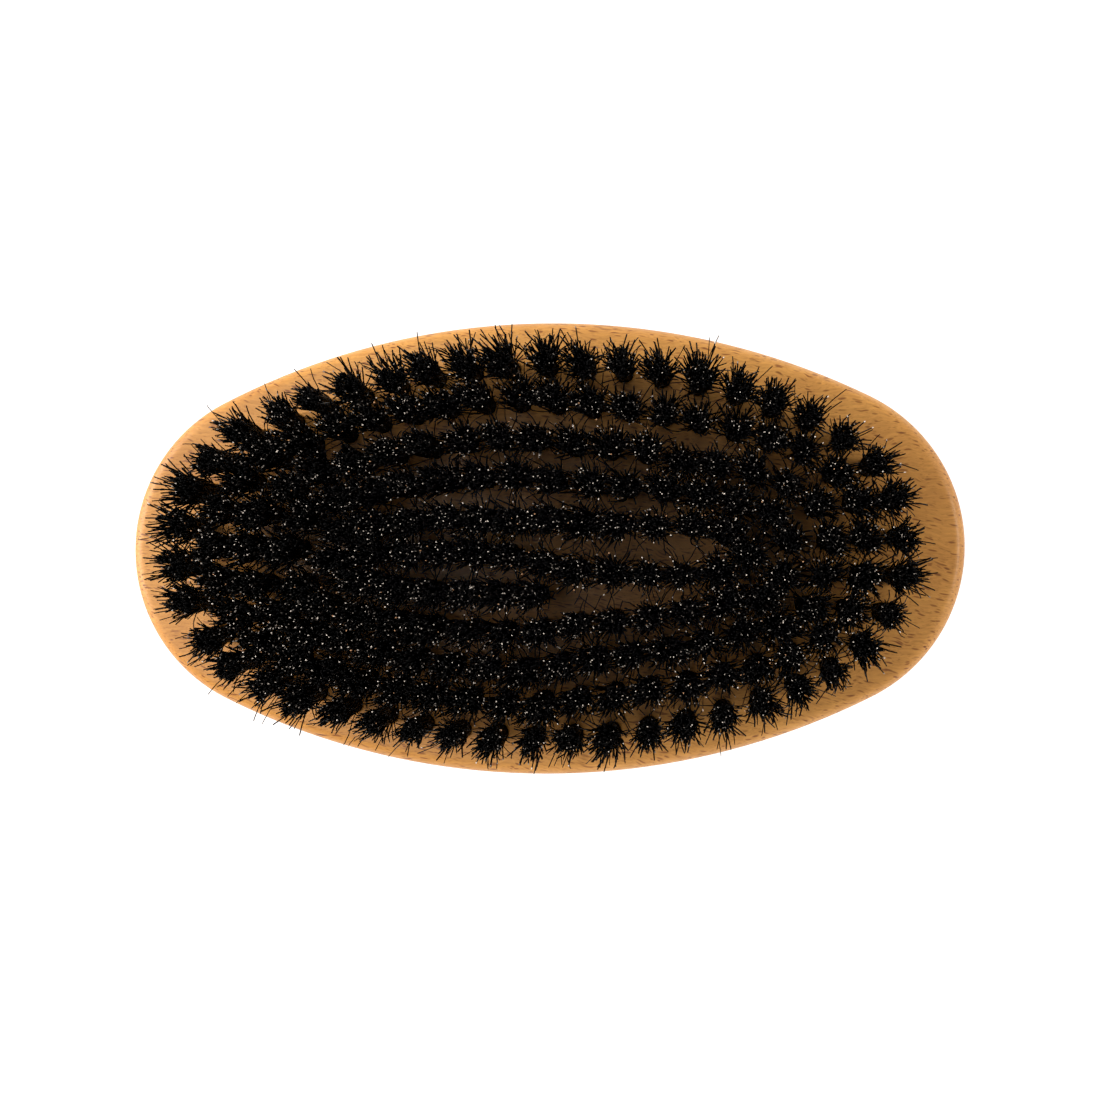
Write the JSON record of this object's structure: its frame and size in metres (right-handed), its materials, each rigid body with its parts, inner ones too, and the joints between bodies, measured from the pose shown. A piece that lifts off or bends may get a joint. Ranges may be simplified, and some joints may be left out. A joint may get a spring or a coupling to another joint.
{
  "type": "beard brush",
  "caption": "Oval palm brush for beards: a solid wood block with a flat face full of short stiff black bristle tufts in rings.",
  "frame": {"origin": "middle of the flat on the back, which the brush rests on, bristles up", "axes": "+X along the brush's long axis, +Y across it, +Z out of the face, along the bristles"},
  "size_m": [0.11, 0.0596, 0.033],
  "materials": {
    "beech": "pale beech with short dark flecks, thin satin varnish",
    "bristle": "black boar-type bristle, glossy along the hair, small pale cut tips"
  },
  "bodies": {
    "root": {"wood_block": "beech", "fourth_tufts_01": "bristle", "fourth_tufts_02": "bristle", "fourth_tufts_03": "bristle", "fourth_tufts_04": "bristle", "fourth_tufts_05": "bristle", "fourth_tufts_06": "bristle", "fourth_tufts_07": "bristle", "fourth_tufts_08": "bristle", "fourth_tufts_09": "bristle", "inner_tufts_01": "bristle", "inner_tufts_02": "bristle", "inner_tufts_03": "bristle", "inner_tufts_04": "bristle", "inner_tufts_05": "bristle", "inner_tufts_06": "bristle", "inner_tufts_07": "bristle", "inner_tufts_08": "bristle", "inner_tufts_09": "bristle", "rim_tufts_01": "bristle", "rim_tufts_02": "bristle", "rim_tufts_03": "bristle", "rim_tufts_04": "bristle", "rim_tufts_05": "bristle", "rim_tufts_06": "bristle", "rim_tufts_07": "bristle", "rim_tufts_08": "bristle", "rim_tufts_09": "bristle", "rim_tufts_10": "bristle", "rim_tufts_11": "bristle", "rim_tufts_12": "bristle", "second_tufts_01": "bristle", "second_tufts_02": "bristle", "second_tufts_03": "bristle", "second_tufts_04": "bristle", "second_tufts_05": "bristle", "second_tufts_06": "bristle", "second_tufts_07": "bristle", "second_tufts_08": "bristle", "second_tufts_09": "bristle", "second_tufts_10": "bristle", "second_tufts_11": "bristle", "second_tufts_12": "bristle", "third_tufts_01": "bristle", "third_tufts_02": "bristle", "third_tufts_03": "bristle", "third_tufts_04": "bristle", "third_tufts_05": "bristle", "third_tufts_06": "bristle", "third_tufts_07": "bristle", "third_tufts_08": "bristle", "third_tufts_09": "bristle", "third_tufts_10": "bristle"}
  },
  "joints": []
}
